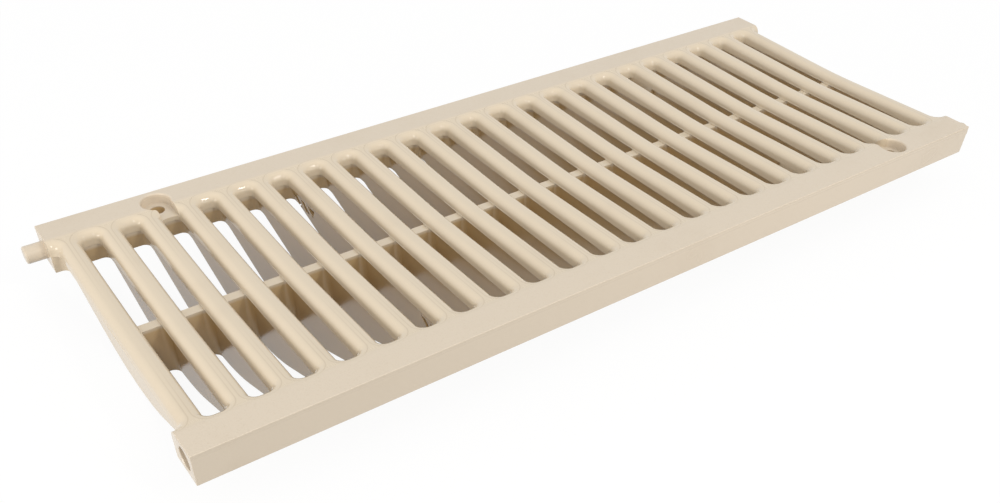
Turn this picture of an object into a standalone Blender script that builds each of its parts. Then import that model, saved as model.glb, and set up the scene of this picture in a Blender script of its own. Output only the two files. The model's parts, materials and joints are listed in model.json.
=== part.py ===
"""Channel drain grate: one moulded plate, fish-bellied bars between two side rails.

Lengths are in metres. X runs along the drain, Y across it and Z up, with the lowest
point of the bars on Z = 0. Heights are written as depths below the top face.
The plate looks the same when it is turned half round about Z.
"""

import math

import bmesh
import bpy

# Plate
BAR_COUNT = 24
PITCH = 0.0254
PLATE_WIDTH = 0.2350
RAIL_WIDTH = 0.0248       # outer face to the end of the slots at the lip
RAIL_HEIGHT = 0.0206
END_REACH = 0.0047        # rail end past the outer bar's lip
EDGE_BREAK = 0.0005

# Slots, measured at the lip where they are narrowest
SLOT_WIDTH = 0.0116
SLOT_CORNER = 0.0038
SHOULDER_RADIUS = 0.0055
LIP_DEPTH = 0.0090
LIP_DRAFT = math.radians(5)
CREST_SAG = 0.0032        # the bars' tops dip this far amidships, the lips stay level
END_SAG = 0.0009          # and this far where the slots' corners start
SAG_FLAT = 0.010          # half length of the level stretch amidships

# Webs and rib under the lip
WEB_THICKNESS = 0.0086
DRAFT = math.radians(2.5)
WALL_SETBACK = 0.0005
RIB_THICKNESS = 0.0066
RIB_DROP = 0.0009         # top of the rib under the lip

# Belly: an arc amidships and a straight rise on each side of it
BELLY_DEPTH = 0.0442
BELLY_RADIUS = 0.130
BELLY_RISE = math.radians(21.3)
BELLY_FILLET = 0.008

# Pins and sockets that join one length to the next
PIN_RADIUS = 0.0055
PIN_LENGTH = 0.0124
PIN_CHAMFER = 0.0008
PIN_INSET = 0.0111        # axis in from the rail's outer face
PIN_DEPTH = 0.0107
SOCKET_CLEARANCE = 0.0010
SOCKET_END_GAP = 0.0016

# Screw seats, one at the back of one slot and one at the front of its partner
SCREW_SLOT = 3
SEAT_RADIUS = 0.0094
SEAT_DEPTH = 0.0064
SEAT_RIM = 0.0012
SEAT_INSET = 0.0129       # screw axis in from the rail's outer face
SEAT_SHELF = 0.0008       # shelf past the slot's end wall
SCREW_RADIUS = 0.00475

# Latch side of one slot: diagonal pockets on one bar, pads on the bar across the slot
LATCH_SLOT = 6
PAD_LENGTH = 0.0252
PAD_SHY = 0.0001          # pad face behind the lip
POCKET_TOP = 0.0152
POCKET_BOTTOM = 0.0214
POCKET_WIDTH = 0.0048
POCKET_STEP = 0.0095
POCKET_LEAN = 0.0068      # run of a pocket's slanted side across the plate
POCKET_CUT = 0.0042
BACK_POCKETS = 0.0024     # first pocket from the slot's end at the lip
FRONT_POCKETS = 0.0240    # last full pocket from the slot's end at the lip
POCKET_CORNER = 0.0030    # top side of the three-cornered pocket past its slanted side

# Facets of the rounds, and how far cutters run past what they cut
SHOULDER_STEPS = 3
CORNER_STEPS = 3
BELLY_STEPS = 11
ROUND_STEPS = 20
CLEAR = 0.0030
OVERLAP = 0.0020
FLARE_RISE = 0.0002       # a shoulder's first facet runs on this far above the top

PLATE_LENGTH = BAR_COUNT * PITCH - SLOT_WIDTH + 2 * END_REACH
TOP = BELLY_DEPTH
TAPER = math.tan(DRAFT)
LIP_TAPER = math.tan(LIP_DRAFT)
SLOT_HALF = SLOT_WIDTH / 2
SLOT_END = PLATE_WIDTH / 2 - RAIL_WIDTH
FOOT_GAIN = (LIP_DEPTH - SHOULDER_RADIUS) * LIP_TAPER
SAG_END = SLOT_END - SLOT_CORNER
FIELD_END = SLOT_END + FOOT_GAIN + SHOULDER_RADIUS


def slot_x(index):
    """Centre of a slot; 0 and BAR_COUNT are the open cut-outs outside the end bars."""
    return (index - BAR_COUNT / 2) * PITCH


def sag(y):
    """Drop of the bars' tops below the rails: level amidships, then two straight rises."""
    out = abs(y)
    if out > SAG_END:
        return END_SAG * max(0.0, FIELD_END - out) / (FIELD_END - SAG_END)
    rise = max(0.0, out - SAG_FLAT) / (SAG_END - SAG_FLAT)
    return CREST_SAG + (END_SAG - CREST_SAG) * rise


# Scene and meshes

def clear_scene():
    for obj in list(bpy.data.objects):
        bpy.data.objects.remove(obj, do_unlink=True)


def new_collection(name, helper=True):
    """A collection under the scene's own. Helpers don't render."""
    collection = bpy.data.collections.new(name)
    collection.hide_render = helper
    bpy.context.scene.collection.children.link(collection)
    return collection


def loft(name, rings):
    """A closed mesh through rings of equal point count, its ends filled."""
    mesh = bpy.data.meshes.new(name)
    bm = bmesh.new()
    rows = [[bm.verts.new(point) for point in ring] for ring in rings]
    for low, high in zip(rows, rows[1:]):
        for i in range(len(low)):
            j = (i + 1) % len(low)
            bm.faces.new((low[i], low[j], high[j], high[i]))
    bm.faces.new(rows[0])
    bm.faces.new(rows[-1])
    bmesh.ops.connect_verts_nonplanar(bm, angle_limit=math.radians(0.05), faces=bm.faces)
    bmesh.ops.recalc_face_normals(bm, faces=bm.faces)
    bm.to_mesh(mesh)
    bm.free()
    return mesh


def place(collection, name, mesh, location=(0, 0, 0), turned=False):
    """An object in the collection, turned half round about Z for the partner side."""
    obj = bpy.data.objects.new(name, mesh)
    obj.location = location
    obj.rotation_euler.z = math.pi if turned else 0
    if collection.hide_render:
        obj.hide_render = True
        obj.display_type = "WIRE"
    collection.objects.link(obj)
    return obj


def place_pair(collection, name, mesh):
    """The same shape twice, the second half a turn about the plate's centre."""
    for turned in (False, True):
        place(collection, f"{name}_{'b' if turned else 'a'}", mesh, turned=turned)


# Outlines

def arc(centre_x, centre_y, radius, start, end, steps):
    angles = [start + (end - start) * i / steps for i in range(steps + 1)]
    return [(centre_x + radius * math.cos(a), centre_y + radius * math.sin(a)) for a in angles]


def rounded_rectangle(half_x, low_y, high_y, radius, depth, breaks=(), follow=0):
    """Ring of a slot-like cutter at a depth below the top face.

    Breaks are extra points on the long sides. Follow is 1 where the ring dips with the bars.
    """
    quarter = math.pi / 2
    corners = ((half_x, high_y, 0), (-half_x, high_y, 1), (-half_x, low_y, 2), (half_x, low_y, 3))
    points = []
    for x, y, turn in corners:
        centre_x = x - math.copysign(radius, x)
        centre_y = y - radius if y == high_y else y + radius
        points += arc(centre_x, centre_y, radius, turn * quarter, (turn + 1) * quarter, CORNER_STEPS)
        if turn == 1:
            points += [(x, b) for b in reversed(breaks)]
    points += [(half_x, b) for b in breaks]
    return [(x, y, TOP - depth - follow * sag(y)) for x, y in points]


def circle_ring(x, y, z, radius, steps=ROUND_STEPS, along_x=False):
    points = arc(0, 0, radius, 0, 2 * math.pi * (steps - 1) / steps, steps - 1)
    if along_x:
        return [(x, y + a, z + b) for a, b in points]
    return [(x + a, y + b, z) for a, b in points]


def belly_outline():
    """The plate's section across the drain, from one outer face to the other."""
    step = 2 * BELLY_RISE / BELLY_STEPS
    centre = BELLY_RADIUS * math.cos(step / 2)      # the middle facet lies on Z = 0
    half = [(BELLY_RADIUS * math.sin(a), centre - BELLY_RADIUS * math.cos(a))
            for a in (step * (i + 0.5) for i in range(BELLY_STEPS // 2 + 1))]
    rail_bottom = TOP - RAIL_HEIGHT
    foot_y = half[-1][0] + (rail_bottom - half[-1][1]) / math.tan(BELLY_RISE)
    fillet_y = foot_y + BELLY_FILLET * math.tan(BELLY_RISE / 2)
    for a in (BELLY_RISE, BELLY_RISE / 2, 0):
        half.append((fillet_y - BELLY_FILLET * math.sin(a),
                     rail_bottom - BELLY_FILLET * (1 - math.cos(a))))
    half += [(PLATE_WIDTH / 2, rail_bottom), (PLATE_WIDTH / 2, TOP)]
    return half + [(-y, z) for y, z in reversed(half)]


# Cutters

def shoulder_offsets():
    """(depth, offset) down the quarter round, its first facet run on above the top face."""
    rings = []
    for i in range(SHOULDER_STEPS + 1):
        a = math.pi / 2 * i / SHOULDER_STEPS
        rings.append((SHOULDER_RADIUS * (1 - math.cos(a)),
                      FOOT_GAIN + SHOULDER_RADIUS * (1 - math.sin(a))))
    (depth, offset), (next_depth, next_offset) = rings[:2]
    flare = offset + (offset - next_offset) / (next_depth - depth) * FLARE_RISE
    return [(-CLEAR, flare), (-FLARE_RISE, flare)] + rings[1:]


def head_mesh(name, low_y, high_y):
    """Cutter for the rounded mouth of a slot, down to the top of the rib."""
    levels = shoulder_offsets() + [(LIP_DEPTH, 0.0), (LIP_DEPTH + RIB_DROP, -RIB_DROP * LIP_TAPER)]
    rings = []
    for i, (depth, offset) in enumerate(levels):
        rings.append(rounded_rectangle(SLOT_HALF + offset, low_y - offset, high_y + offset,
                                       SLOT_CORNER + offset, depth, (-SAG_FLAT, SAG_FLAT),
                                       follow=0 < i < len(levels) - 2))
    return loft(name, rings)


def dip_mesh():
    """Cutter for the shallow dip of the bars' tops, its end facets run on above the rails."""
    half = [(y, TOP - sag(y)) for y in (SAG_FLAT, SAG_END)]
    slope = END_SAG / (FIELD_END - SAG_END)
    half += [(FIELD_END + OVERLAP, TOP + OVERLAP * slope), (FIELD_END + OVERLAP, TOP + CLEAR + OVERLAP)]
    section = half + [(-y, z) for y, z in reversed(half)]
    end = PLATE_LENGTH / 2 + CLEAR
    return loft("dip", [[(x, y, z) for y, z in section] for x in (-end, end)])


def pocket_mesh(name, low_y, high_y):
    """Cutter for the drafted pocket under the lip, out through the belly."""
    half_x = (PITCH - WEB_THICKNESS) / 2
    rings = []
    for depth in (LIP_DEPTH, BELLY_DEPTH + CLEAR):
        gain = (depth - LIP_DEPTH) * TAPER
        rings.append(rounded_rectangle(half_x + gain, low_y - gain, high_y + gain,
                                       SLOT_CORNER + gain, depth))
    return loft(name, rings)


def add_slot_cutters(collection):
    place(collection, "dip", dip_mesh())
    end = SLOT_END + WALL_SETBACK
    rib = RIB_THICKNESS / 2
    head = head_mesh("head", -SLOT_END, SLOT_END)
    screw_head = head_mesh("screw_head", -SLOT_END, SLOT_END - SEAT_SHELF)
    front = pocket_mesh("front_pocket", -end, -rib)
    back = pocket_mesh("back_pocket", rib, end)
    whole = pocket_mesh("end_pocket", -end, end)
    for index in range(BAR_COUNT + 1):
        at = (slot_x(index), 0, 0)
        screwed = index in (SCREW_SLOT, BAR_COUNT - SCREW_SLOT)
        place(collection, f"head_{index:02d}", screw_head if screwed else head, at,
              turned=index == BAR_COUNT - SCREW_SLOT)
        if index in (0, BAR_COUNT):
            place(collection, f"end_pocket_{index:02d}", whole, at)
        else:
            place(collection, f"front_pocket_{index:02d}", front, at)
            place(collection, f"back_pocket_{index:02d}", back, at)


def add_screw_seats(collection):
    """Round seat at a slot's end, open to the slot, with the screw hole through its floor."""
    x = slot_x(SCREW_SLOT) + SLOT_HALF + FOOT_GAIN - SEAT_RADIUS
    y = PLATE_WIDTH / 2 - SEAT_INSET
    bend = SEAT_RIM * (1 - math.sqrt(0.5))          # halfway round the rim
    rings = []
    for depth, offset in ((-CLEAR, SEAT_RIM), (0.0, SEAT_RIM), (bend, bend),
                          (SEAT_RIM, 0.0), (SEAT_DEPTH, -SEAT_DEPTH * TAPER)):
        rings.append(circle_ring(x, y, TOP - depth, SEAT_RADIUS + offset))
    place_pair(collection, "screw_seat", loft("screw_seat", rings))
    half = SLOT_HALF - PAD_SHY
    inner = SLOT_END - SLOT_CORNER - OVERLAP
    mouth = [(slot_x(SCREW_SLOT) + side * half, end)
             for side, end in ((1, y), (-1, y), (-1, inner), (1, inner))]
    floor = TOP - SEAT_DEPTH
    place_pair(collection, "seat_mouth",
               loft("seat_mouth", [[(a, b, z) for a, b in mouth] for z in (floor, TOP + CLEAR)]))
    place_pair(collection, "screw_hole",
               loft("screw_hole", [circle_ring(x, y, z, SCREW_RADIUS)
                                   for z in (TOP - RAIL_HEIGHT - CLEAR, floor + CLEAR)]))


def add_pins(collection):
    end = PLATE_LENGTH / 2
    y, z = PLATE_WIDTH / 2 - PIN_INSET, TOP - PIN_DEPTH
    tip = end + PIN_LENGTH
    rings = [circle_ring(-x, y, z, r, along_x=True) for x, r in
             ((end - OVERLAP, PIN_RADIUS), (tip - PIN_CHAMFER, PIN_RADIUS), (tip, PIN_RADIUS - PIN_CHAMFER))]
    place_pair(collection, "pin", loft("pin", rings))


def add_sockets(collection):
    end = PLATE_LENGTH / 2
    y, z = PLATE_WIDTH / 2 - PIN_INSET, TOP - PIN_DEPTH
    bottom = end - PIN_LENGTH - SOCKET_END_GAP
    rings = [circle_ring(x, y, z, PIN_RADIUS + SOCKET_CLEARANCE, along_x=True)
             for x in (bottom, end + CLEAR)]
    place_pair(collection, "socket", loft("socket", rings))


def add_latch_pads(collection):
    """Pads that fill the set-back under the lip, beside each end of the latch slot."""
    bar = slot_x(LATCH_SLOT) - PITCH / 2
    face = bar + (PITCH - SLOT_WIDTH) / 2 - PAD_SHY
    end = SLOT_END + WALL_SETBACK
    for name, sign in (("back_pad", 1), ("front_pad", -1)):
        ends = (sign * (end - PAD_LENGTH), sign * (end + OVERLAP))
        rings = [[(x, y, z) for x, y in ((bar, ends[0]), (face, ends[0]), (face, ends[1]), (bar, ends[1]))]
                 for z in (TOP - RAIL_HEIGHT, TOP - LIP_DEPTH + OVERLAP / 2)]
        place_pair(collection, name, loft(name, rings))


def pocket_prism(name, corners):
    """Cutter from a (y, depth) outline, into the web on the right of the latch slot."""
    lip_face = slot_x(LATCH_SLOT) + SLOT_HALF
    web_face = slot_x(LATCH_SLOT) + (PITCH - WEB_THICKNESS) / 2
    return loft(name, [[(x, y, TOP - depth) for y, depth in corners]
                       for x in (lip_face, web_face + POCKET_CUT)])


def add_latch_pockets(collection):
    """Pockets between slanted ribs: two and a triangle at the back, two at the front."""
    starts = [SLOT_END - BACK_POCKETS - i * POCKET_STEP for i in range(2)]
    starts += [-SLOT_END + FRONT_POCKETS - i * POCKET_STEP for i in range(2)]
    for i, y in enumerate(starts):
        corners = ((y, POCKET_TOP), (y - POCKET_LEAN, POCKET_BOTTOM),
                   (y - POCKET_LEAN - POCKET_WIDTH, POCKET_BOTTOM), (y - POCKET_WIDTH, POCKET_TOP))
        place_pair(collection, f"latch_pocket_{i}", pocket_prism(f"latch_pocket_{i}", corners))
    y = starts[1] - POCKET_STEP
    corners = ((y, POCKET_TOP), (y - POCKET_LEAN, POCKET_BOTTOM),
               (y - POCKET_LEAN - POCKET_CORNER, POCKET_TOP))
    place_pair(collection, "latch_corner", pocket_prism("latch_corner", corners))


# The grate

def beige_plastic():
    material = bpy.data.materials.new("beige_plastic")
    material.use_nodes = True
    shader = material.node_tree.nodes["Principled BSDF"]
    shader.inputs["Base Color"].default_value = (0.70, 0.60, 0.46, 1)
    shader.inputs["Roughness"].default_value = 0.32
    shader.inputs["Metallic"].default_value = 0.0
    return material


def add_boolean(obj, name, operation, collection):
    modifier = obj.modifiers.new(name, "BOOLEAN")
    modifier.operation = operation
    modifier.solver = "EXACT"
    modifier.operand_type = "COLLECTION"
    modifier.collection = collection


def add_grate(collection, slots, joins, cuts):
    half = PLATE_LENGTH / 2
    section = belly_outline()
    mesh = loft("grate", [[(x, y, z) for y, z in section] for x in (-half, half)])
    mesh.materials.append(beige_plastic())
    grate = place(collection, "grate", mesh)
    bevel = grate.modifiers.new("edge_break", "BEVEL")
    bevel.width = EDGE_BREAK
    bevel.segments = 1
    bevel.limit_method = "ANGLE"
    bevel.angle_limit = math.radians(60)
    add_boolean(grate, "slots", "DIFFERENCE", slots)
    add_boolean(grate, "pins_and_pads", "UNION", joins)
    add_boolean(grate, "seats_and_sockets", "DIFFERENCE", cuts)


def main():
    clear_scene()
    model = new_collection("channel_drain_grate", helper=False)
    slots = new_collection("slot_cutters")
    joins = new_collection("joined_shapes")
    cuts = new_collection("fitting_cutters")
    add_slot_cutters(slots)
    add_pins(joins)
    add_latch_pads(joins)
    add_screw_seats(cuts)
    add_sockets(cuts)
    add_latch_pockets(cuts)
    add_grate(model, slots, joins, cuts)


main()
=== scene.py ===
"""Looks of the channel drain grate: the moulded plate at full detail, its plastic, and the studio.

Lengths are in metres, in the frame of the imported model: X along the drain, Y across it, Z up.
Depths are measured down from the plate's top face.
"""

import json
import logging
import math
from dataclasses import dataclass, field
from enum import Enum
from typing import Callable, Sequence

import bmesh
import bpy
import numpy as np
from mathutils import Matrix, Vector

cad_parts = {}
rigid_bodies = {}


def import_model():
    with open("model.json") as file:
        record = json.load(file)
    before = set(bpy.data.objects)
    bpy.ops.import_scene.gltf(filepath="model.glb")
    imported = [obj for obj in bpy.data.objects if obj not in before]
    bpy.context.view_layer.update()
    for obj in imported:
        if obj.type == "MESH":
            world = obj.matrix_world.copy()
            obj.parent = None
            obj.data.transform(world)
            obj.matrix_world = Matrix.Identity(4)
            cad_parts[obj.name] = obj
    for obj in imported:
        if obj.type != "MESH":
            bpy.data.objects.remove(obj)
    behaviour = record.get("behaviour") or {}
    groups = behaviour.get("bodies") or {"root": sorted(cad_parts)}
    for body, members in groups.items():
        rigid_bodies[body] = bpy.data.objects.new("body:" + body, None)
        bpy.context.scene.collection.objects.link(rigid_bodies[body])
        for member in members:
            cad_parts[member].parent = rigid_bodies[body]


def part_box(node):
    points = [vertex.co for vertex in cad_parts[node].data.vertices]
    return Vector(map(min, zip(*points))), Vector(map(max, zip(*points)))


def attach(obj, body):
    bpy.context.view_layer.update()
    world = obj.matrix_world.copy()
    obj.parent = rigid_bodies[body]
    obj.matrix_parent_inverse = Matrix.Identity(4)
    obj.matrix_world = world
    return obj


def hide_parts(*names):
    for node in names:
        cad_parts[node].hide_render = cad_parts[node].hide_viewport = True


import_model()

LOG = logging.getLogger("drain_grate")
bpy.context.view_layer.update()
NODE = "grate"
NOISE_MEAN = 0.5
Array = np.ndarray
Pair = tuple[float, float]
Triple = tuple[float, float, float]
Colour = tuple[float, float, float, float]


class Turn(Enum):
    """The two places of a shape that the plate carries twice, as its angle about Z."""

    OWN = 0.0
    PARTNER = math.pi


class Cut(Enum):
    """How a group of shapes meets the plate."""

    JOIN = "UNION"
    REMOVE = "DIFFERENCE"


Placed = tuple[bpy.types.Mesh, Vector, Turn]


@dataclass(frozen=True)
class PlateSizes:
    """Driving sizes of the plate.

    The width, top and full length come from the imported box. Cutters pass faces by `clear`, and
    joined shapes reach into each other by `overlap`.
    """

    low: Vector
    high: Vector
    bar_count: int = 24
    pitch: float = 0.0254
    rail_width: float = 0.0248
    rail_height: float = 0.0206
    end_reach: float = 0.0047
    slot_width: float = 0.0116
    slot_corner: float = 0.0038
    shoulder: float = 0.0055
    lip_depth: float = 0.0090
    lip_draft: float = math.radians(5)
    crest_sag: float = 0.0032
    end_sag: float = 0.0009
    sag_flat: float = 0.010
    edge_break: float = 0.0005
    web: float = 0.0086
    draft: float = math.radians(2.5)
    clear: float = 0.003
    overlap: float = 0.002

    @property
    def top(self) -> float:
        """Height of the top face."""
        return self.high.z

    @property
    def half_width(self) -> float:
        """From the middle to a rail's outer face."""
        return (self.high.y - self.low.y) / 2

    @property
    def half_length(self) -> float:
        """From the middle to a rail's end, without the pin."""
        return (self.bar_count * self.pitch - self.slot_width) / 2 + self.end_reach

    @property
    def pin_length(self) -> float:
        """How far a pin stands out of the rail's end."""
        return self.high.x - self.half_length

    @property
    def slot_half(self) -> float:
        """Half the slot's width at the lip."""
        return self.slot_width / 2

    @property
    def slot_end(self) -> float:
        """From the middle to the slot's end at the lip."""
        return self.half_width - self.rail_width

    @property
    def foot_gain(self) -> float:
        """Spread of the drafted wall from the lip up to the foot of the shoulder."""
        return (self.lip_depth - self.shoulder) * math.tan(self.lip_draft)

    @property
    def sag_end(self) -> float:
        """Where the slots' corners start, and the bars' straight rise ends."""
        return self.slot_end - self.slot_corner

    @property
    def field_end(self) -> float:
        """Where the shoulders round the slots' ends reach the rail's top face."""
        return self.slot_end + self.foot_gain + self.shoulder

    def slot_x(self, index: int) -> float:
        """Centre of a slot. The first and last are the open cut-outs outside the end bars."""
        return (index - self.bar_count / 2) * self.pitch

    def sag(self, y: Array) -> Array:
        """Drop of the bars' tops below the rails.

        Two straight rises meet in a parabola amidships, which is twice as long as the level
        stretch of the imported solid. Past the slots' corners the drop runs out to nothing.

        Args:
            y: distances across the drain, from the middle.

        Returns:
            The drop at each y.
        """
        out = np.abs(y)
        slope = (self.crest_sag - self.end_sag) / (self.sag_end - self.sag_flat)
        bend = np.minimum(out, 2 * self.sag_flat) ** 2 / (4 * self.sag_flat)
        drop = self.crest_sag - slope * (bend + np.maximum(0.0, out - 2 * self.sag_flat))
        run_out = self.end_sag * (self.field_end - out) / (self.field_end - self.sag_end)
        return np.where(out > self.sag_end, np.maximum(0.0, run_out), drop)


@dataclass
class Outline:
    """A closed outline in plan: points, and the unit direction in which each moves outwards."""

    points: Array
    outwards: Array

    def carry(self, profile: Array, height: Callable[[Array, Array], Array]) -> Array:
        """Carry a profile round the outline.

        A point is the outline's point plus its outward direction times the profile's offset, and
        its height comes from the profile's depth and the point's y.

        Args:
            profile: rows of depth, offset and share of the dip.
            height: gives z from the profile's rows and y.

        Returns:
            Rings of points, one for each row of the profile.
        """
        plan = self.points[None] + profile[:, 1, None, None] * self.outwards[None]
        z = height(profile, plan[..., 1])
        return np.concatenate([plan, z[..., None]], axis=2)


def rounded_outline(half_x: float, low_y: float, high_y: float, radius: float,
                    breaks: Array, steps: int = 8) -> Outline:
    """Outline of a rectangle with round corners.

    A corner's points are its centre plus the radius times the cosine and sine of its angle. The
    long sides also have a point at each break.

    Args:
        half_x: half the width.
        low_y: front end.
        high_y: back end.
        radius: corner radius.
        breaks: rising y values of the points on the long sides.
        steps: facets of a corner.

    Returns:
        The outline, turning left.
    """
    angle = np.linspace(0, math.pi / 2, steps + 1)
    points, outwards = [], []
    # each corner's side in x, its end, and the way in y from that end to its centre
    corners = ((1, high_y, -1), (-1, high_y, -1), (-1, low_y, 1), (1, low_y, 1))
    for turn, (sx, y, side) in enumerate(corners):
        a = angle + turn * math.pi / 2
        ray = np.stack([np.cos(a), np.sin(a)], axis=1)
        points.append(np.array([sx * (half_x - radius), y + side * radius]) + radius * ray)
        outwards.append(ray)
        if turn in (1, 3):
            run = breaks[::-1] if turn == 1 else breaks
            points.append(np.stack([np.full(run.shape, sx * half_x), run], axis=1))
            outwards.append(np.tile([float(sx), 0.0], (len(run), 1)))
    return Outline(np.concatenate(points), np.concatenate(outwards))


def circle_outline(x: float, y: float, radius: float, steps: int) -> Outline:
    """Outline of a circle: its centre plus the radius times the cosine and sine of an angle.

    Args:
        x: the centre's x.
        y: the centre's y.
        radius: the circle's radius.
        steps: facets of the circle.

    Returns:
        The outline, turning left.
    """
    a = np.arange(steps) * 2 * math.pi / steps
    ray = np.stack([np.cos(a), np.sin(a)], axis=1)
    return Outline(np.array([x, y]) + radius * ray, ray)


def polygon_outline(corners: Array | Sequence[Pair]) -> Outline:
    """Outline through given corners, which doesn't grow."""
    points = np.array(corners, float)
    return Outline(points, np.zeros_like(points))


def drawn_along(section: Array, ends: Array) -> Array:
    """Rings of a section that is drawn along X.

    Args:
        section: rows of y and z.
        ends: x of each ring.

    Returns:
        The section's rows at each x, as rings of points.
    """
    x = np.broadcast_to(ends[:, None], (len(ends), len(section)))
    return np.concatenate([x[..., None], np.broadcast_to(section, (len(ends), *section.shape))], axis=2)


@dataclass
class Shaper:
    """Puts arrays of rings into meshes, and cuts or joins them with the plate.

    A face that is bent by more than `flat_within` is split.
    """

    top: float
    flat_within: float = math.radians(0.05)

    def height(self, profile: Array, y: Array, sag: Callable[[Array], Array] | None) -> Array:
        """Height of each carried point: the top less the depth, less the row's share of the dip."""
        z = self.top - np.broadcast_to(profile[:, 0, None], y.shape)
        return z if sag is None else z - profile[:, 2, None] * sag(y)

    def closed(self, name: str, rings: Array) -> bpy.types.Mesh:
        """Mesh through rings of points, closed at both ends.

        Args:
            name: name of the mesh.
            rings: points, ring by ring.

        Returns:
            A closed mesh with its faces outwards.
        """
        count, around = rings.shape[:2]
        at = np.arange(count * around).reshape(count, around)
        nearer, further = at[:-1], at[1:]
        quads = np.stack([nearer, np.roll(nearer, -1, 1), np.roll(further, -1, 1), further], axis=2)
        faces = quads.reshape(-1, 4).tolist() + [at[0, ::-1].tolist(), at[-1].tolist()]
        mesh = bpy.data.meshes.new(name)
        mesh.from_pydata(rings.reshape(-1, 3).tolist(), [], faces)
        bm = bmesh.new()
        bm.from_mesh(mesh)
        bmesh.ops.connect_verts_nonplanar(bm, angle_limit=self.flat_within, faces=bm.faces)
        bmesh.ops.recalc_face_normals(bm, faces=bm.faces)
        bm.to_mesh(mesh)
        bm.free()
        return mesh

    def carried(self, name: str, outline: Outline, profile: Array,
                sag: Callable[[Array], Array] | None = None) -> bpy.types.Mesh:
        """Closed mesh of a profile carried round an outline.

        Args:
            name: name of the mesh.
            outline: the outline in plan.
            profile: rows of depth, offset and share of the dip.
            sag: gives the dip at y, for a shape that follows it.

        Returns:
            The closed mesh.
        """
        return self.closed(name, outline.carry(profile, lambda rows, y: self.height(rows, y, sag)))

    def gather(self, name: str, parts: Sequence[Placed]) -> bpy.types.Collection:
        """Helper objects in a collection of their own.

        Args:
            name: name of the collection.
            parts: mesh, place and turn of each helper.

        Returns:
            The collection.
        """
        group = bpy.data.collections.new(name)
        bpy.context.scene.collection.children.link(group)
        for mesh, place, turn in parts:
            helper = bpy.data.objects.new(mesh.name, mesh)
            helper.location = place
            helper.rotation_euler.z = turn.value
            helper.hide_render = True
            group.objects.link(helper)
        return group

    def meet(self, body: bpy.types.Object, group: bpy.types.Collection, cut: Cut) -> None:
        """Give the body a Boolean with the group.

        Args:
            body: the object that is cut or joined.
            group: helper objects.
            cut: whether they are joined or removed.
        """
        modifier = body.modifiers.new(group.name, "BOOLEAN")
        modifier.operation = cut.value
        modifier.solver = "EXACT"
        modifier.operand_type = "COLLECTION"
        modifier.collection = group

    def settle(self, body: bpy.types.Object, groups: Sequence[bpy.types.Collection]) -> None:
        """Apply the body's modifiers and remove the helpers.

        Args:
            body: the object with its modifiers.
            groups: helper collections.
        """
        seen = bpy.context.evaluated_depsgraph_get()
        made = bpy.data.meshes.new_from_object(body.evaluated_get(seen))
        body.modifiers.clear()
        body.data = made
        for group in groups:
            for helper in list(group.objects):
                bpy.data.objects.remove(helper, do_unlink=True)
            bpy.data.collections.remove(group)


@dataclass
class Blank:
    """The plate before its slots: the fish-bellied section, drawn along the drain."""

    sizes: PlateSizes
    belly_radius: float = 0.130
    belly_rise: float = math.radians(21.3)
    belly_fillet: float = 0.008
    arc_steps: int = 15
    fillet_steps: int = 5

    def section(self) -> Array:
        """Section across the drain.

        Amidships y is the belly radius times the sine of an angle and z is the radius times one
        less its cosine. A straight rise follows, then a fillet up to the rail's flat underside.

        Returns:
            Rows of y and z, from one outer face to the other.
        """
        s = self.sizes
        a = np.linspace(0, self.belly_rise, self.arc_steps + 1)[1:]
        arc = self.belly_radius * np.stack([np.sin(a), 1 - np.cos(a)], axis=1)
        underside = s.top - s.rail_height
        foot = arc[-1, 0] + (underside - arc[-1, 1]) / math.tan(self.belly_rise)
        fillet = foot + self.belly_fillet * math.tan(self.belly_rise / 2)
        b = np.linspace(self.belly_rise, 0, self.fillet_steps + 1)
        bend = np.stack([fillet - self.belly_fillet * np.sin(b),
                         underside - self.belly_fillet * (1 - np.cos(b))], axis=1)
        sides = np.array([[s.half_width, underside], [s.half_width, s.top]])
        half = np.concatenate([[[0.0, 0.0]], arc, bend, sides])
        return np.concatenate([half, half[:0:-1] * [-1, 1]])

    def rings(self) -> Array:
        """The section at both rail ends."""
        return drawn_along(self.section(), np.array([-1, 1]) * self.sizes.half_length)


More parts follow.
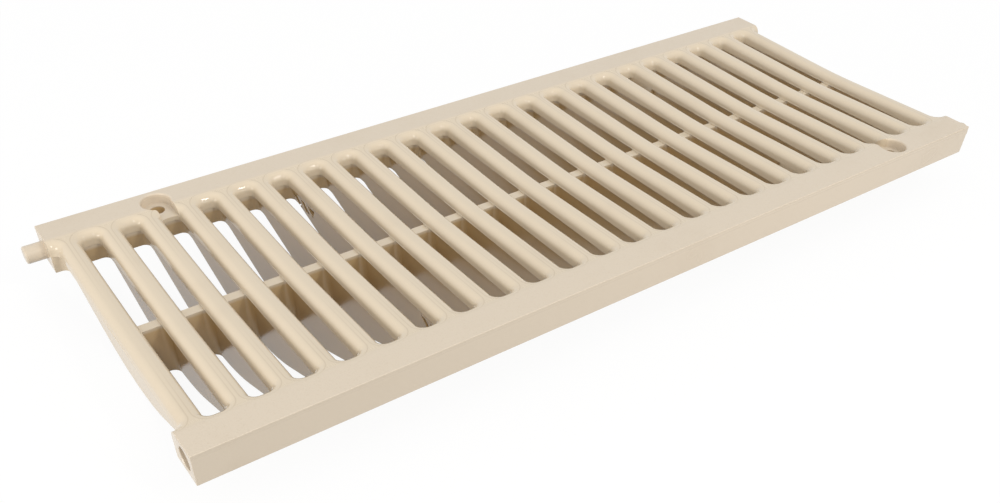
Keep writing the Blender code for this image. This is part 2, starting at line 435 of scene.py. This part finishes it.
@dataclass
class SlotField:
    """Slots between the bars: round shoulders, a drafted lip, and drafted pockets under it.

    A slot with a screw seat ends short of the others by the shelf. The pockets run past the slots'
    ends by the setback, and leave the rib between them.
    """

    sizes: PlateSizes
    screw_slot: int = 3
    shelf: float = 0.0008
    rib: float = 0.0066
    rib_drop: float = 0.0009
    setback: float = 0.0005
    flare_rise: float = 0.0002
    shoulder_steps: int = 10
    sag_steps: int = 8

    def breaks(self) -> Array:
        """Where the facets of the dip meet amidships."""
        reach = 2 * self.sizes.sag_flat
        return np.linspace(-reach, reach, self.sag_steps + 1)

    def head_profile(self) -> Array:
        """Profile of a slot's mouth, from above the top face down to the rib.

        Down the shoulder the depth is the radius times one less the cosine of an angle, and the
        offset is the radius times one less its sine, on top of the lip's draft. The shoulder's
        first slope runs on above the top face by the flare's rise.

        Returns:
            Rows of depth, offset and share of the dip.
        """
        s = self.sizes
        a = np.linspace(0, math.pi / 2, self.shoulder_steps + 1)
        depth = s.shoulder * (1 - np.cos(a))
        offset = s.foot_gain + s.shoulder * (1 - np.sin(a))
        flare = offset[0] + (offset[0] - offset[1]) / (depth[1] - depth[0]) * self.flare_rise
        rows = [[-s.clear, flare, 0], [-self.flare_rise, flare, 1]]
        rows += np.stack([depth, offset, np.ones_like(a)], axis=1)[1:].tolist()
        rows += [[s.lip_depth, 0, 0],
                 [s.lip_depth + self.rib_drop, -self.rib_drop * math.tan(s.lip_draft), 0]]
        return np.array(rows)

    def head(self, shaper: Shaper, shelf: float) -> bpy.types.Mesh:
        """Cutter for a slot's mouth.

        Args:
            shaper: makes the mesh.
            shelf: how far the back end is drawn in.

        Returns:
            The cutter, centred on its slot.
        """
        s = self.sizes
        back = s.slot_end - shelf
        outline = rounded_outline(s.slot_half, -s.slot_end, back, s.slot_corner, self.breaks())
        return shaper.carried("mouth", outline, self.head_profile(), s.sag)

    def pocket(self, shaper: Shaper, low_y: float, high_y: float) -> bpy.types.Mesh:
        """Cutter for a pocket: its outline grows with depth at the draft.

        Args:
            shaper: makes the mesh.
            low_y: front end at the lip.
            high_y: back end at the lip.

        Returns:
            The cutter, centred on its slot.
        """
        s = self.sizes
        outline = rounded_outline((s.pitch - s.web) / 2, low_y, high_y, s.slot_corner, np.empty(0))
        reach = s.top + s.clear
        profile = np.array([[s.lip_depth, 0, 0], [reach, (reach - s.lip_depth) * math.tan(s.draft), 0]])
        return shaper.carried("pocket", outline, profile)

    def dip(self, shaper: Shaper) -> bpy.types.Mesh:
        """Cutter over the bars, whose underside is the top less the sag at each y.

        Args:
            shaper: makes the mesh.

        Returns:
            The cutter, as long as the plate.
        """
        s = self.sizes
        y = np.concatenate([[-s.sag_end], self.breaks(), [s.sag_end]])
        z = s.top - s.sag(y)
        slope = s.end_sag / (s.field_end - s.sag_end)
        run, rise = s.field_end + s.overlap, s.top + s.overlap * slope
        roof = s.top + s.clear + s.overlap
        section = np.concatenate([[[-run, rise]], np.stack([y, z], axis=1),
                                  [[run, rise], [run, roof], [-run, roof]]])
        ends = np.array([-1, 1]) * (s.half_length + s.clear)
        return shaper.closed("dip", drawn_along(section, ends))

    def cutters(self, shaper: Shaper) -> list[Placed]:
        """Every cutter of the field.

        Args:
            shaper: makes the meshes.

        Returns:
            The dip, and for each slot its mouth and its pockets, which are one outside the end
            bars and two elsewhere.
        """
        s = self.sizes
        end = s.slot_end + self.setback
        plain, screwed = self.head(shaper, 0.0), self.head(shaper, self.shelf)
        front = self.pocket(shaper, -end, -self.rib / 2)
        back = self.pocket(shaper, self.rib / 2, end)
        whole = self.pocket(shaper, -end, end)
        placed = [(self.dip(shaper), Vector(), Turn.OWN)]
        for index in range(s.bar_count + 1):
            at = Vector((s.slot_x(index), 0, 0))
            partner = index == s.bar_count - self.screw_slot
            head = screwed if partner or index == self.screw_slot else plain
            placed.append((head, at, Turn.PARTNER if partner else Turn.OWN))
            outer = index in (0, s.bar_count)
            placed += [(mesh, at, Turn.OWN) for mesh in ((whole,) if outer else (front, back))]
        return placed


@dataclass
class ScrewSeats:
    """Round seats that open into a slot's end, each with a screw hole through its floor."""

    field: SlotField
    radius: float = 0.0094
    depth: float = 0.0064
    rim: float = 0.0012
    inset: float = 0.0129
    mouth_shy: float = 0.0001
    mouth_fillet: float = 0.0050
    hole: float = 0.00475
    rim_steps: int = 4
    fillet_steps: int = 5
    seat_steps: int = 56
    hole_steps: int = 40

    def mouth_outline(self, slot: float, x: float, y: float) -> Outline:
        """Outline of the opening from the seat into the slot.

        A fillet leads from the seat's circle into the mouth's left wall. It touches both, so its
        centre is a fillet radius outside the wall, and both radii away from the seat's centre.

        Args:
            slot: x of the slot's centre.
            x: x of the seat's centre.
            y: y of the seat's centre.

        Returns:
            The outline, which doesn't grow.
        """
        s = self.field.sizes
        half, inner = s.slot_half - self.mouth_shy, s.slot_end - s.slot_corner - s.overlap
        bend, reach = self.mouth_fillet, self.radius + self.mouth_fillet
        bend_x = slot - half - bend
        bend_y = y - math.sqrt(reach ** 2 - (x - bend_x) ** 2)
        a = np.linspace(math.atan2(y - bend_y, x - bend_x), 0.0, self.fillet_steps + 1)
        arc = np.stack([bend_x + bend * np.cos(a), bend_y + bend * np.sin(a)], axis=1)
        in_seat, in_slot = [(slot + half, y), (x, y)], [(slot - half, inner), (slot + half, inner)]
        return polygon_outline(np.concatenate([in_seat, arc, in_slot]))

    def cutters(self, shaper: Shaper) -> list[Placed]:
        """Cutters for the seat, its mouth and its hole.

        The rim's depth is the rim times one less the cosine of an angle, and its offset is the
        rim times one less the sine.

        Args:
            shaper: makes the meshes.

        Returns:
            The three cutters at both places.
        """
        s = self.field.sizes
        slot = s.slot_x(self.field.screw_slot)
        x = slot + s.slot_half + s.foot_gain - self.radius
        y = s.half_width - self.inset
        a = np.linspace(0, math.pi / 2, self.rim_steps + 1)
        round_rim = np.stack([self.rim * (1 - np.cos(a)), self.rim * (1 - np.sin(a)), 0 * a], axis=1)
        profile = np.concatenate([[[-s.clear, self.rim, 0]], round_rim,
                                  [[self.depth, -self.depth * math.tan(s.draft), 0]]])
        seat = shaper.carried("seat", circle_outline(x, y, self.radius, self.seat_steps), profile)
        straight = np.array([[self.depth, 0, 0], [-s.clear, 0, 0]])
        mouth = shaper.carried("seat_mouth", self.mouth_outline(slot, x, y), straight)
        through = np.array([[s.rail_height + s.clear, 0, 0], [self.depth - s.clear, 0, 0]])
        hole = shaper.carried("hole", circle_outline(x, y, self.hole, self.hole_steps), through)
        return [(mesh, Vector(), turn) for mesh in (seat, mouth, hole) for turn in Turn]


@dataclass
class EndJoints:
    """Pins and sockets that join one length of grate to the next."""

    sizes: PlateSizes
    radius: float = 0.0055
    nose: float = 0.0012
    mouth: float = 0.0004
    inset: float = 0.0111
    depth: float = 0.0107
    play: float = 0.0010
    end_gap: float = 0.0016
    steps: int = 48
    nose_steps: int = 4

    def turned(self, shaper: Shaper, name: str, profile: Array) -> bpy.types.Mesh:
        """A round shape about the joint's axis, which runs along X.

        y and z are the axis plus the row's radius times the cosine and sine of an angle.

        Args:
            shaper: makes the mesh.
            name: name of the mesh.
            profile: rows of x and radius.

        Returns:
            The closed mesh.
        """
        s = self.sizes
        a = np.arange(self.steps) * 2 * math.pi / self.steps
        x = np.broadcast_to(profile[:, 0, None], (len(profile), self.steps))
        y = s.half_width - self.inset + profile[:, 1, None] * np.cos(a)
        z = s.top - self.depth + profile[:, 1, None] * np.sin(a)
        return shaper.closed(name, np.stack([x, y, z], axis=2))

    def pins(self, shaper: Shaper) -> list[Placed]:
        """A pin at the back of the left end, and its partner.

        Round the tip, x is drawn back by the nose times one less the sine of an angle, and the
        radius shrinks by the nose times one less the cosine.

        Args:
            shaper: makes the mesh.

        Returns:
            The pin at both places.
        """
        s = self.sizes
        tip = s.half_length + s.pin_length
        b = np.linspace(0, math.pi / 2, self.nose_steps + 1)
        nose = np.stack([-tip + self.nose * (1 - np.sin(b)),
                         self.radius - self.nose * (1 - np.cos(b))], axis=1)
        profile = np.concatenate([[[-s.half_length + s.overlap, self.radius]], nose])
        return [(self.turned(shaper, "pin", profile), Vector(), turn) for turn in Turn]

    def sockets(self, shaper: Shaper) -> list[Placed]:
        """Cutters for a socket at the back of the right end, and its partner.

        Args:
            shaper: makes the mesh.

        Returns:
            The cutter at both places.
        """
        s = self.sizes
        floor, bore = s.half_length - s.pin_length - self.end_gap, self.radius + self.play
        flare = bore + self.mouth + s.clear
        profile = np.array([[floor, bore], [s.half_length - self.mouth, bore],
                            [s.half_length + s.clear, flare]])
        return [(self.turned(shaper, "socket", profile), Vector(), turn) for turn in Turn]


@dataclass
class LatchSide:
    """One slot's latch: slanted pockets in the bar on its right, flat pads on the bar on its left."""

    field: SlotField
    slot: int = 6
    pad_length: float = 0.0252
    pad_shy: float = 0.0001
    pocket_top: float = 0.0152
    pocket_bottom: float = 0.0214
    width: float = 0.0048
    step: float = 0.0095
    lean: float = 0.0068
    cut: float = 0.0042
    from_back: float = 0.0024
    from_front: float = 0.0240
    corner: float = 0.0030
    each_end: int = 2

    def pads(self, shaper: Shaper) -> list[Placed]:
        """Flat pads that fill the undercut beside each end of the slot.

        Args:
            shaper: makes the meshes.

        Returns:
            The back and the front pad, at both places.
        """
        s = self.field.sizes
        bar = s.slot_x(self.slot) - s.pitch / 2
        face = bar + (s.pitch - s.slot_width) / 2 - self.pad_shy
        end = s.slot_end + self.field.setback
        levels = np.array([[s.rail_height, 0, 0], [s.lip_depth - s.overlap / 2, 0, 0]])
        placed = []
        for sign in (1, -1):
            inner, outer = sign * (end - self.pad_length), sign * (end + s.overlap)
            outline = polygon_outline([(bar, inner), (face, inner), (face, outer), (bar, outer)])
            mesh = shaper.carried("pad", outline, levels)
            placed += [(mesh, Vector(), turn) for turn in Turn]
        return placed

    def prism(self, shaper: Shaper, corners: Sequence[Pair]) -> bpy.types.Mesh:
        """Cutter into the web, from the slot's lip to the depth of the cut.

        Args:
            shaper: makes the mesh.
            corners: y and depth of each corner of its section.

        Returns:
            The cutter.
        """
        s = self.field.sizes
        middle = s.slot_x(self.slot)
        faces = np.array([middle + s.slot_half, middle + (s.pitch - s.web) / 2 + self.cut])
        section = np.array([0.0, s.top]) + np.array(corners) * [1, -1]
        return shaper.closed("latch", drawn_along(section, faces))

    def pockets(self, shaper: Shaper) -> list[Placed]:
        """Slanted pockets, two and a three-cornered one at the back and two at the front.

        Args:
            shaper: makes the meshes.

        Returns:
            The cutters at both places.
        """
        s = self.field.sizes
        starts = [s.slot_end - self.from_back - i * self.step for i in range(self.each_end)]
        starts += [-s.slot_end + self.from_front - i * self.step for i in range(self.each_end)]
        shapes = [[(y, self.pocket_top), (y - self.lean, self.pocket_bottom),
                   (y - self.lean - self.width, self.pocket_bottom), (y - self.width, self.pocket_top)]
                  for y in starts]
        y = starts[self.each_end - 1] - self.step
        shapes.append([(y, self.pocket_top), (y - self.lean, self.pocket_bottom),
                       (y - self.lean - self.corner, self.pocket_top)])
        cutters = [self.prism(shaper, corners) for corners in shapes]
        return [(mesh, Vector(), turn) for mesh in cutters for turn in Turn]


@dataclass
class Grate:
    """The whole moulding."""

    sizes: PlateSizes
    edge_facets: int = 3
    edge_angle: float = math.radians(60)
    crease: float = math.radians(28)
    flat_weight: int = 80
    slots: SlotField = field(init=False)

    def __post_init__(self) -> None:
        """Make the slot field, which the fittings are tied to."""
        self.slots = SlotField(self.sizes)

    def build(self) -> bpy.types.Object:
        """Build the plate and smooth its round faces.

        Returns:
            The finished piece, at the origin.
        """
        shaper = Shaper(self.sizes.top)
        blank = shaper.closed("grate_moulding", Blank(self.sizes).rings())
        body = bpy.data.objects.new("grate_moulding", blank)
        bpy.context.scene.collection.objects.link(body)
        bevel = body.modifiers.new("edges", "BEVEL")
        bevel.width = self.sizes.edge_break
        bevel.segments = self.edge_facets
        bevel.limit_method = "ANGLE"
        bevel.angle_limit = self.edge_angle
        ends, seats, latch = EndJoints(self.sizes), ScrewSeats(self.slots), LatchSide(self.slots)
        slots = shaper.gather("slots", self.slots.cutters(shaper))
        joins = shaper.gather("pins_and_pads", ends.pins(shaper) + latch.pads(shaper))
        cuts = shaper.gather("seats_and_sockets",
                             seats.cutters(shaper) + ends.sockets(shaper) + latch.pockets(shaper))
        shaper.meet(body, slots, Cut.REMOVE)
        shaper.meet(body, joins, Cut.JOIN)
        shaper.meet(body, cuts, Cut.REMOVE)
        shaper.settle(body, (slots, joins, cuts))
        self.smooth(body)
        return body

    def smooth(self, body: bpy.types.Object) -> None:
        """Shade the round faces smooth, keep the creases, and let flat faces rule the normals.

        Args:
            body: the settled plate.
        """
        mesh = body.data
        mesh.polygons.foreach_set("use_smooth", np.ones(len(mesh.polygons), bool))
        mesh.set_sharp_from_angle(angle=self.crease)
        weigh = body.modifiers.new("flat_faces_rule", "WEIGHTED_NORMAL")
        weigh.keep_sharp = True
        weigh.weight = self.flat_weight
        mesh.update()


class Wire:
    """A number that a shader node gives. Its operators add Math nodes."""

    def __init__(self, bench: "Bench", socket: bpy.types.NodeSocket) -> None:
        """Keep the node's output and the bench that makes more nodes."""
        self.bench, self.socket = bench, socket

    def _with(self, operation: str, *values: "Wire | float") -> "Wire":
        """One Math node on the values."""
        return self.bench.math(operation, *values)

    def __add__(self, other: "Wire | float") -> "Wire":
        """Sum."""
        return self._with("ADD", self, other)

    __radd__ = __add__

    def __sub__(self, other: "Wire | float") -> "Wire":
        """Difference."""
        return self._with("SUBTRACT", self, other)

    def __rsub__(self, other: "Wire | float") -> "Wire":
        """Difference the other way round."""
        return self._with("SUBTRACT", other, self)

    def __mul__(self, other: "Wire | float") -> "Wire":
        """Product."""
        return self._with("MULTIPLY", self, other)

    __rmul__ = __mul__

    def __abs__(self) -> "Wire":
        """Size without sign."""
        return self._with("ABSOLUTE", self)


@dataclass(frozen=True)
class Speckle:
    """A noise: its waves a metre, its octaves, and how much each octave adds to the last."""

    scale: float
    detail: float
    roughness: float


class Bench:
    """Makes the nodes of one material or world."""

    def __init__(self, owner: "bpy.types.Material | bpy.types.World") -> None:
        """Start with an empty node tree.

        Args:
            owner: the material or world that holds it.
        """
        self.owner = owner
        owner.use_nodes = True
        self.tree = owner.node_tree
        self.tree.nodes.clear()

    def node(self, kind: str, settings: dict | None = None,
             inputs: dict | None = None) -> bpy.types.Node:
        """Make one node.

        Args:
            kind: the node's type.
            settings: attributes set first, such as an operation.
            inputs: values or links by socket name or number.

        Returns:
            The node.
        """
        made = self.tree.nodes.new(kind)
        for key, value in (settings or {}).items():
            setattr(made, key, value)
        for key, value in (inputs or {}).items():
            socket = made.inputs[key]
            if isinstance(value, Wire):
                value = value.socket
            if isinstance(value, bpy.types.NodeSocket):
                self.tree.links.new(value, socket)
            else:
                socket.default_value = value
        return made

    def math(self, operation: str, *values: "Wire | float", clamp: bool = False) -> Wire:
        """A Math node on up to three values."""
        made = self.node("ShaderNodeMath", {"operation": operation, "use_clamp": clamp},
                         dict(enumerate(values)))
        return Wire(self, made.outputs[0])

    def step(self, value: Wire, span: Pair, start: float = 0.0) -> Wire:
        """A smooth rise from 0 to 1 as the value crosses the span, which is counted from the start."""
        made = self.node("ShaderNodeMapRange", {"interpolation_type": "SMOOTHSTEP"},
                         {"Value": value, "From Min": start + span[0], "From Max": start + span[1]})
        return Wire(self, made.outputs["Result"])

    def noise(self, vector: bpy.types.NodeSocket, speckle: Speckle) -> Wire:
        """Noise about one half."""
        made = self.node("ShaderNodeTexNoise", {"noise_dimensions": "3D"},
                         {"Vector": vector, "Scale": speckle.scale, "Detail": speckle.detail,
                          "Roughness": speckle.roughness})
        return Wire(self, made.outputs["Fac"])

    def blend(self, factor: "Wire | float", first: object, second: object) -> bpy.types.NodeSocket:
        """A colour between two others."""
        made = self.node("ShaderNodeMix", {"data_type": "RGBA"}, {0: factor, 6: first, 7: second})
        return made.outputs[2]


@dataclass(frozen=True)
class Marks:
    """What changes over the moulding: where its parts are, from 0 to 1, and noises about one half."""

    rail: Wire
    bars: Wire
    top: Wire
    shoulder: Wire
    web: Wire
    # painted shade: darker on the webs under the lips and inside the holes and sockets
    recess_shade: Wire
    line: Wire
    cloud: Wire
    fleck: Wire
    pores: Wire
    streak: Wire


@dataclass(frozen=True)
class MouldedBeige:
    """Beige moulded plastic.

    The rails are satin with a fine grain, the bars smoother with faint streaks along them, and
    the walls of the slots glossy. The webs and the insides of the holes are painted darker, as
    painted shade in the recesses. A thin grooved line runs where a slot's shoulder leaves the top
    face, and is painted darker, as painted shade in its groove.

    A span is the stretch over which a mark fades in or out.
    """

    sizes: PlateSizes
    bar: Colour = (0.745, 0.640, 0.490, 1)
    rail: Colour = (0.725, 0.630, 0.505, 1)
    # painted shade: the darker colour laid on the webs under the lips and inside the holes and sockets
    web: Colour = (0.635, 0.465, 0.250, 1)
    # soil from the noises, and painted shade along the thin line
    soil_and_shade: Colour = (0.560, 0.455, 0.325, 1)

    # spans across the drain, from the slots' ends and from the rails' outer faces
    rail_span: Pair = (0.003, 0.007)
    face_span: Pair = (-0.003, -0.001)
    # span along the drain, from the middle of the end bars
    end_span: Pair = (0.0, 0.002)
    # spans in depth, from the top face and, for the web, from the lip
    top_span: Pair = (0.0004, 0.0030)
    shoulder_span: Pair = (0.0003, 0.0012)
    # depths over which painted shade fills the holes and sockets
    hole_shade_span: Pair = (0.0066, 0.0075)
    web_span: Pair = (0.001, 0.004)

    # the thin line: how far out of the lip it runs, how it fades to its sides, and its depth
    line_out: float = 0.00575
    line_span: Pair = (0.0, 0.00060)
    line_depth: float = 0.00006

    # noises, the streaks' stretch along the bars, and the heights of the grain and the streaks
    cloud: Speckle = Speckle(22.0, 3.0, 0.55)
    fleck: Speckle = Speckle(260.0, 3.0, 0.6)
    pores: Speckle = Speckle(900.0, 2.0, 0.6)
    streak: Speckle = Speckle(1600.0, 3.0, 0.6)
    streak_stretch: Triple = (1.0, 0.03, 0.3)
    grain: float = 0.00012
    scratch: float = 0.00001

    # soil: the part of each noise that holds it, and how much of it shows there; the line's share is
    # painted shade in its groove
    cloud_soil: Pair = (0.50, 0.80)
    fleck_soil: Pair = (0.62, 0.80)
    pore_soil: Pair = (0.52, 0.75)
    cloud_share: float = 0.16
    fleck_share: float = 0.10
    pore_share: float = 0.20
    # painted shade in the line's groove
    line_shade_share: float = 0.45

    # roughness by place, how far the noises move it, and the gloss of all of it
    rail_roughness: float = 0.42
    top_roughness: float = 0.26
    wall_roughness: float = 0.06
    web_roughness: float = 0.26
    fleck_roughness: float = 0.30
    cloud_roughness: float = 0.08
    streak_roughness: float = 0.20
    ior: float = 1.5

    def slot_distance(self, bench: Bench, x: Wire, y: Wire) -> Wire:
        """Distance in plan outwards from the nearest slot's lip.

        The distance is that from a rectangle drawn in by the corner radius, less the radius. The
        x part repeats at the pitch, by folding.

        Args:
            bench: makes the nodes.
            x: the point's x.
            y: the point's y.

        Returns:
            The distance, below zero inside a slot.
        """
        s = self.sizes
        across = bench.math("PINGPONG", x + s.pitch * s.bar_count, s.pitch / 2)
        qx = across - (s.slot_half - s.slot_corner)
        qy = abs(y) - (s.slot_end - s.slot_corner)
        ox, oy = bench.math("MAXIMUM", qx, 0.0), bench.math("MAXIMUM", qy, 0.0)
        outside = bench.math("SQRT", ox * ox + oy * oy)
        inside = bench.math("MINIMUM", bench.math("MAXIMUM", qx, qy), 0.0)
        return outside + inside - s.slot_corner

    def marks(self, bench: Bench) -> Marks:
        """Work out every mark from the point's place on the moulding.

        Args:
            bench: makes the nodes.

        Returns:
            The marks.
        """
        s = self.sizes
        place = bench.node("ShaderNodeTexCoord").outputs["Object"]
        parts = bench.node("ShaderNodeSeparateXYZ", inputs={0: place}).outputs
        x, y, z = (Wire(bench, parts[i]) for i in range(3))
        depth = s.top - z
        rail = bench.step(abs(y), self.rail_span, s.slot_end)
        bars = 1 - rail
        top = 1 - bench.step(depth, self.top_span)
        web = bench.step(depth, self.web_span, s.lip_depth) * bars
        inner = 1 - bench.step(abs(y), self.face_span, s.half_width)
        # painted shade inside the rails' holes and sockets
        hole = bench.step(depth, self.hole_shade_span) * rail * inner
        # the painted shade stops past the end bars, whose outer faces are open
        end_bar = s.half_length - s.end_reach - (s.pitch - s.slot_width) / 2
        within = 1 - bench.step(abs(x), self.end_span, end_bar)
        away = self.slot_distance(bench, x, y)
        # the line's groove, which is also painted darker as painted shade
        line = (1 - bench.step(abs(away - self.line_out), self.line_span)) * top * bars
        stretched = bench.node("ShaderNodeVectorMath", {"operation": "MULTIPLY"},
                               {0: place, 1: self.streak_stretch}).outputs[0]
        return Marks(rail=rail, bars=bars, top=top, web=web, line=line,
                     recess_shade=(web + hole) * within,
                     shoulder=bench.step(depth, self.shoulder_span) * bars,
                     cloud=bench.noise(place, self.cloud),
                     fleck=bench.noise(place, self.fleck),
                     pores=bench.noise(place, self.pores),
                     streak=bench.noise(stretched, self.streak))

    def colour(self, bench: Bench, on: Marks) -> bpy.types.NodeSocket:
        """Base colour: the bars' or the rails', with painted shade on the webs and in the holes, under
        soil and painted shade along the line.

        Args:
            bench: makes the nodes.
            on: the marks.

        Returns:
            The colour.
        """
        # painted shade on the webs and in the holes
        clean = bench.blend(on.recess_shade, bench.blend(on.rail, self.bar, self.rail), self.web)
        in_cloud = bench.step(on.cloud, self.cloud_soil) * self.cloud_share
        in_fleck = bench.step(on.fleck, self.fleck_soil) * self.fleck_share
        in_pores = bench.step(on.pores, self.pore_soil) * on.rail * on.top * self.pore_share
        # soil from the noises, plus painted shade along the line
        soil_and_shade = in_cloud + in_fleck + on.line * self.line_shade_share + in_pores
        return bench.blend(soil_and_shade, clean, self.soil_and_shade)

    def roughness(self, on: Marks) -> Wire:
        """Roughness: the rails' tops and the bars', moved by the noises, then the walls and webs.

        Args:
            on: the marks.

        Returns:
            The roughness.
        """
        fleck, cloud, streak = on.fleck - NOISE_MEAN, on.cloud - NOISE_MEAN, on.streak - NOISE_MEAN
        rough = self.top_roughness + on.rail * on.top * (self.rail_roughness - self.top_roughness)
        rough = rough + on.rail * on.top * fleck * self.fleck_roughness + cloud * self.cloud_roughness
        rough = rough + on.top * on.bars * streak * self.streak_roughness
        rough = rough + on.shoulder * (self.wall_roughness - rough)
        return rough + on.web * (self.web_roughness - rough)

    def relief(self, on: Marks) -> Wire:
        """Height of the rails' grain and the bars' streaks, less the depth of the line."""
        grain = (on.pores + on.fleck) * on.top * on.rail * self.grain
        return grain + on.streak * on.top * on.bars * self.scratch - on.line * self.line_depth

    def make(self) -> bpy.types.Material:
        """Make the material.

        Returns:
            The material, with what changes over it on its colour, roughness and normal alone.
        """
        bench = Bench(bpy.data.materials.new("moulded_beige"))
        on = self.marks(bench)
        bump = bench.node("ShaderNodeBump", inputs={
            "Strength": 1.0, "Distance": 1.0, "Height": self.relief(on)})
        shader = bench.node("ShaderNodeBsdfPrincipled", inputs={
            "Base Color": self.colour(bench, on), "Roughness": self.roughness(on),
            "Metallic": 0.0, "IOR": self.ior, "Normal": bump.outputs[0]})
        bench.node("ShaderNodeOutputMaterial", inputs={"Surface": shader.outputs[0]})
        return bench.owner


@dataclass(frozen=True)
class Lamp:
    """A soft rectangular lamp aimed at a point."""

    name: str
    place: Triple
    size: Pair
    watts: float
    colour: Triple

    def hang(self, aim: Vector) -> None:
        """Put the lamp in the scene.

        Args:
            aim: the point that it faces.
        """
        light = bpy.data.lights.new(self.name, "AREA")
        light.shape = "RECTANGLE"
        light.energy = self.watts
        light.color = self.colour
        light.size, light.size_y = self.size
        lamp = bpy.data.objects.new(self.name, light)
        lamp.location = self.place
        lamp.rotation_euler = (aim - Vector(self.place)).to_track_quat("-Z", "Y").to_euler()
        bpy.context.scene.collection.objects.link(lamp)


STRIP_TINT: Triple = (1.0, 0.96, 0.90)
CARD_TINT: Triple = (1.0, 0.93, 0.84)


@dataclass
class Studio:
    """White floor and surround, soft lamps, and the camera.

    The surround lights evenly. The two strips shine down the slots onto the walls at their back
    ends. The cards stand low, and lift the plate's left end and its front face.
    """

    aim: Vector
    floor_size: float = 8.0
    floor_drop: float = 0.0003
    floor_grey: float = 0.33
    floor_seen: float = 0.76
    floor_glow: float = 1.217
    surround: float = 0.74
    lamps: tuple[Lamp, ...] = (
        Lamp("key_strip", (2.214, -5.740, 4.952), (1.05, 1.50), 98.0, STRIP_TINT),
        Lamp("tall_strip", (-0.712, -1.380, 1.272), (0.22, 0.30), 4.0, STRIP_TINT),
        Lamp("left_card", (-1.280, -0.150, 0.240), (0.50, 0.30), 4.2, CARD_TINT),
        Lamp("front_card", (0.180, -0.590, 0.110), (0.40, 0.16), 0.6, CARD_TINT),
    )
    camera_place: Triple = (-0.38270, -0.45734, 0.38420)
    camera_look: Triple = (0.42909, 0.57520, -0.69644)
    camera_roll: float = math.radians(-2.1351)
    lens: float = 35.52
    sensor: float = 36.0
    shift: Pair = (0.01301, 0.17162)
    clip: Pair = (0.02, 50.0)

    @staticmethod
    def seen_direct(bench: Bench) -> Wire:
        """Where the surface is looked at, and not only lights the object.

        Args:
            bench: makes the nodes.

        Returns:
            One for the camera, a reflection or a refraction, else zero.
        """
        path = bench.node("ShaderNodeLightPath").outputs
        seen = Wire(bench, path["Is Camera Ray"]) + Wire(bench, path["Is Glossy Ray"])
        return bench.math("ADD", seen, Wire(bench, path["Is Transmission Ray"]), clamp=True)

    def floor(self) -> None:
        """A floor just under the bellies, which looks white and keeps a soft shadow."""
        half = self.floor_size / 2
        corners = np.array([[-half, -half], [half, -half], [half, half], [-half, half]])
        points = np.concatenate([corners, np.full((len(corners), 1), -self.floor_drop)], axis=1)
        mesh = bpy.data.meshes.new("floor")
        mesh.from_pydata(points.tolist(), [], [(0, 1, 2, 3)])
        bench = Bench(bpy.data.materials.new("white_floor"))
        grey = (self.floor_grey, self.floor_grey, self.floor_grey, 1)
        matt = bench.node("ShaderNodeBsdfDiffuse", inputs={"Color": grey})
        glow = bench.node("ShaderNodeEmission", inputs={"Strength": self.floor_glow})
        mixed = bench.node("ShaderNodeMixShader", inputs={
            0: self.seen_direct(bench) * self.floor_seen, 1: matt.outputs[0], 2: glow.outputs[0]})
        bench.node("ShaderNodeOutputMaterial", inputs={"Surface": mixed.outputs[0]})
        mesh.materials.append(bench.owner)
        floor = bpy.data.objects.new("floor", mesh)
        bpy.context.scene.collection.objects.link(floor)

    def world(self) -> None:
        """A surround that lights evenly and looks white."""
        bench = Bench(bpy.data.worlds.new("surround"))
        white = (1, 1, 1, 1)
        even = bench.node("ShaderNodeBackground", inputs={"Color": white, "Strength": self.surround})
        seen = bench.node("ShaderNodeBackground", inputs={"Color": white, "Strength": 1.0})
        mixed = bench.node("ShaderNodeMixShader", inputs={
            0: self.seen_direct(bench), 1: even.outputs[0], 2: seen.outputs[0]})
        bench.node("ShaderNodeOutputWorld", inputs={"Surface": mixed.outputs[0]})
        bpy.context.scene.world = bench.owner

    def camera(self) -> None:
        """The camera, at the photograph's viewing angle."""
        lens = bpy.data.cameras.new("camera")
        lens.lens, lens.sensor_width = self.lens, self.sensor
        lens.shift_x, lens.shift_y = self.shift
        lens.clip_start, lens.clip_end = self.clip
        eye = bpy.data.objects.new("camera", lens)
        bpy.context.scene.collection.objects.link(eye)
        back = -Vector(self.camera_look).normalized()
        right = Vector((0, 0, 1)).cross(back).normalized()
        right = Matrix.Rotation(-self.camera_roll, 4, back) @ right
        upward = back.cross(right)
        turned = Matrix((right, upward, back)).transposed().to_4x4()
        eye.matrix_world = Matrix.Translation(self.camera_place) @ turned
        bpy.context.scene.camera = eye

    def build(self) -> None:
        """Set the whole studio."""
        self.floor()
        self.world()
        for lamp in self.lamps:
            lamp.hang(self.aim)
        self.camera()
        bpy.context.scene.view_settings.view_transform = "Standard"


def main() -> None:
    """Build the grate and the studio, and report each piece."""
    logging.basicConfig(level=logging.INFO, format="%(name)s: %(message)s")
    sizes = PlateSizes(*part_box(NODE))
    grate = Grate(sizes).build()
    grate.data.materials.clear()
    grate.data.materials.append(MouldedBeige(sizes).make())
    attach(grate, "root")
    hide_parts(NODE)
    LOG.info("%s: %d faces", grate.name, len(grate.data.polygons))
    Studio(aim=Vector((0, 0, sizes.top))).build()


if __name__ == "__main__":
    main()
